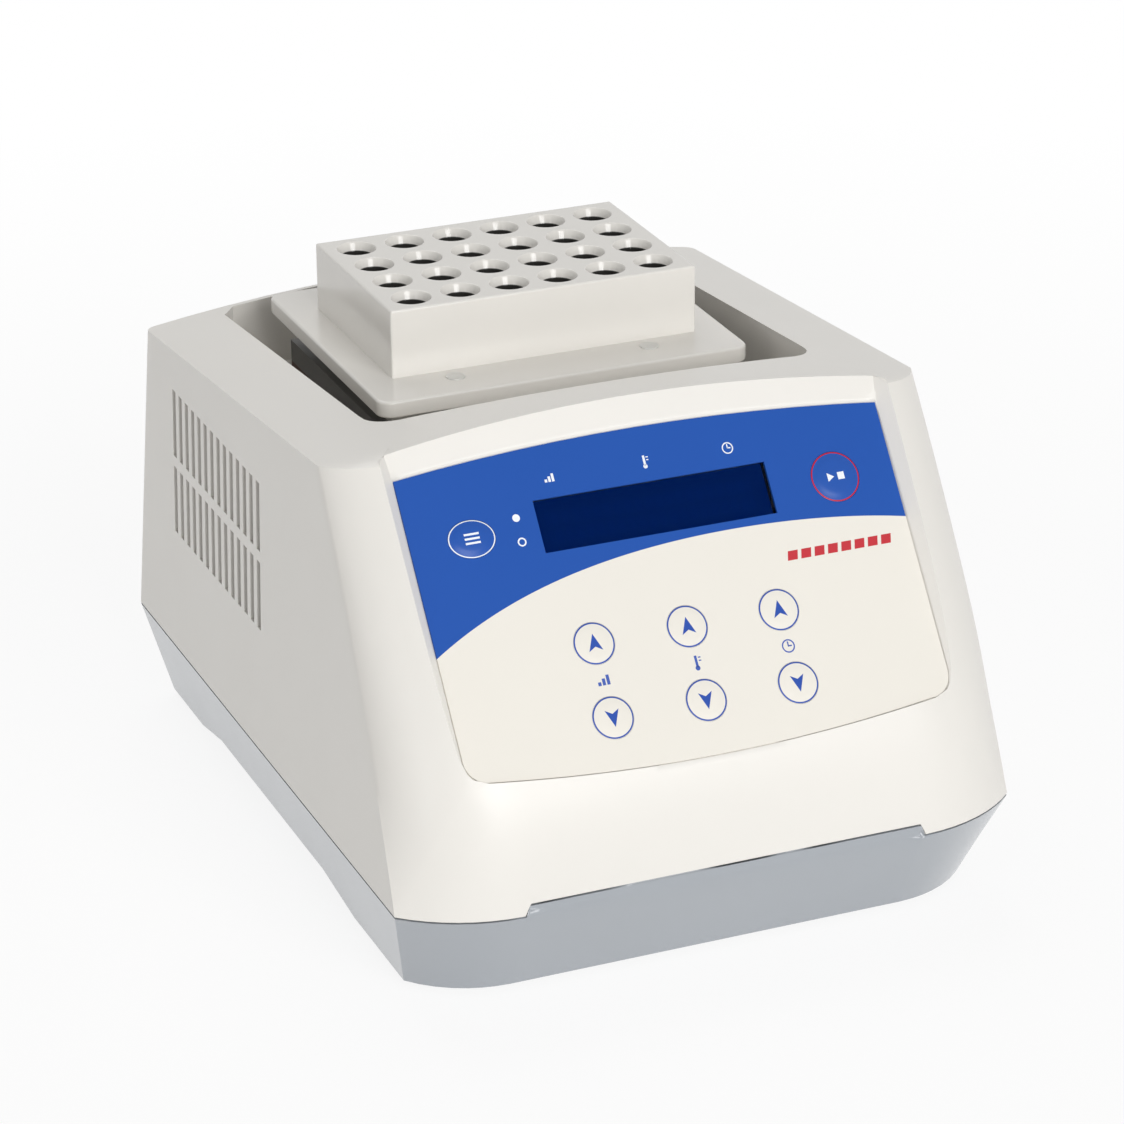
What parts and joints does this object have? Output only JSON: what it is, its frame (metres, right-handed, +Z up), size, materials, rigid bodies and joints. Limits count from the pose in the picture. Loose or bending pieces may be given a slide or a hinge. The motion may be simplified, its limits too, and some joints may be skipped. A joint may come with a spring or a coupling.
{
  "type": "dry block heater",
  "caption": "Dry block heater for sample tubes: crowned off-white housing on a grey-blue base, flanged tube block sunk in the top, sloping key panel with display, side vents, mains inlet.",
  "frame": {"origin": "On the table, under the middle of the body.", "axes": "+X to the right seen from the front, -Y to the front with the sloping panel, +Z up."},
  "size_m": [0.2214, 0.2874, 0.1875],
  "materials": {
    "housing_plastic": "warm off-white, satin gloss",
    "base_plastic": "pale grey-blue, fine grain",
    "overlay_film": "printed film, blue over warm white",
    "clear_pane": "clear",
    "display_glass": "dark blue liquid crystal",
    "circuit_board": "green solder mask",
    "key_blue": "printed blue",
    "key_white": "printed white",
    "anodised": "light grey anodised, glossy",
    "raw_aluminium": "milled",
    "zinc_steel": "zinc plated",
    "silicone_mat": "orange silicone",
    "fibre_wool": "pressed fibre",
    "ceramic": "glazed",
    "core_steel": "varnished laminations",
    "coil_tape": "yellow tape",
    "black_plastic": "black moulding",
    "contact_brass": "plated",
    "fuse_glass": "clear with metal caps",
    "foot_rubber": "black"
  },
  "bodies": {
    "body": {"upper_housing": "housing_plastic", "base_tray": "base_plastic", "panel_overlay": "overlay_film", "display_window": "clear_pane", "lcd_glass": "display_glass", "lcd_frame": "circuit_board", "lcd_spacers": "zinc_steel", "control_board": "circuit_board", "board_screws": "zinc_steel", "key_switches": "black_plastic", "tube_block": "anodised", "block_flange": "anodised", "block_screws": "zinc_steel", "heater_plate": "raw_aluminium", "heater_mat": "silicone_mat", "clamp_plate": "zinc_steel", "insulation": "fibre_wool", "ceramic_spacers": "ceramic", "temp_probe": "zinc_steel", "heat_cutout": "black_plastic", "heater_bridge": "zinc_steel", "bridge_screws": "zinc_steel", "transformer": "core_steel", "transformer_coil": "coil_tape", "transformer_screws": "zinc_steel", "power_board": "circuit_board", "power_screws": "zinc_steel", "heat_sink": "anodised", "fan_frame": "black_plastic", "fan_screws": "zinc_steel", "inlet_socket": "black_plastic", "inlet_pins": "contact_brass", "inlet_screws": "zinc_steel", "switch_body": "black_plastic", "rubber_feet": "foot_rubber", "foot_screws": "zinc_steel", "housing_screws": "zinc_steel"},
    "key_seg_up": {"key_seg_up": "key_white"},
    "key_seg_down": {"key_seg_down": "key_white"},
    "key_temp_up": {"key_temp_up": "key_white"},
    "key_temp_down": {"key_temp_down": "key_white"},
    "key_time_up": {"key_time_up": "key_white"},
    "key_time_down": {"key_time_down": "key_white"},
    "key_program": {"key_program": "key_blue"},
    "key_start": {"key_start": "key_blue"},
    "fan_rotor": {"fan_rotor": "black_plastic"},
    "switch_rocker": {"switch_rocker": "black_plastic"},
    "fuse_drawer": {"fuse_drawer": "black_plastic", "fuse_link": "fuse_glass"}
  },
  "joints": [
    {"name": "key_seg_up_press", "type": "slide", "parent": "body", "child": "key_seg_up", "axis": [0, 0.7902, -0.6129], "range_m": [0, 0.0005], "stiffness_N_per_m": 1500, "springref_m": -0.0003},
    {"name": "key_seg_down_press", "type": "slide", "parent": "body", "child": "key_seg_down", "axis": [0, 0.7902, -0.6129], "range_m": [0, 0.0005], "stiffness_N_per_m": 1500, "springref_m": -0.0003},
    {"name": "key_temp_up_press", "type": "slide", "parent": "body", "child": "key_temp_up", "axis": [0, 0.7902, -0.6129], "range_m": [0, 0.0005], "stiffness_N_per_m": 1500, "springref_m": -0.0003},
    {"name": "key_temp_down_press", "type": "slide", "parent": "body", "child": "key_temp_down", "axis": [0, 0.7902, -0.6129], "range_m": [0, 0.0005], "stiffness_N_per_m": 1500, "springref_m": -0.0003},
    {"name": "key_time_up_press", "type": "slide", "parent": "body", "child": "key_time_up", "axis": [0, 0.7902, -0.6129], "range_m": [0, 0.0005], "stiffness_N_per_m": 1500, "springref_m": -0.0003},
    {"name": "key_time_down_press", "type": "slide", "parent": "body", "child": "key_time_down", "axis": [0, 0.7902, -0.6129], "range_m": [0, 0.0005], "stiffness_N_per_m": 1500, "springref_m": -0.0003},
    {"name": "key_program_press", "type": "slide", "parent": "body", "child": "key_program", "axis": [0, 0.7902, -0.6129], "range_m": [0, 0.0005], "stiffness_N_per_m": 1500, "springref_m": -0.0003},
    {"name": "key_start_press", "type": "slide", "parent": "body", "child": "key_start", "axis": [0, 0.7902, -0.6129], "range_m": [0, 0.0005], "stiffness_N_per_m": 1500, "springref_m": -0.0003},
    {"name": "fan_spin", "type": "hinge", "parent": "body", "child": "fan_rotor", "pos_m": [0.0958, 0.0495, 0.1093], "axis": [1, 0, 0], "continuous": true},
    {"name": "switch_tilt", "type": "hinge", "parent": "body", "child": "switch_rocker", "pos_m": [-0.005, 0.13432, 0.1], "axis": [-1, 0, 0], "range_deg": [0, 18]},
    {"name": "fuse_pull", "type": "slide", "parent": "body", "child": "fuse_drawer", "axis": [0, 0.9896, 0.1439], "range_m": [0, 0.014]}
  ]
}
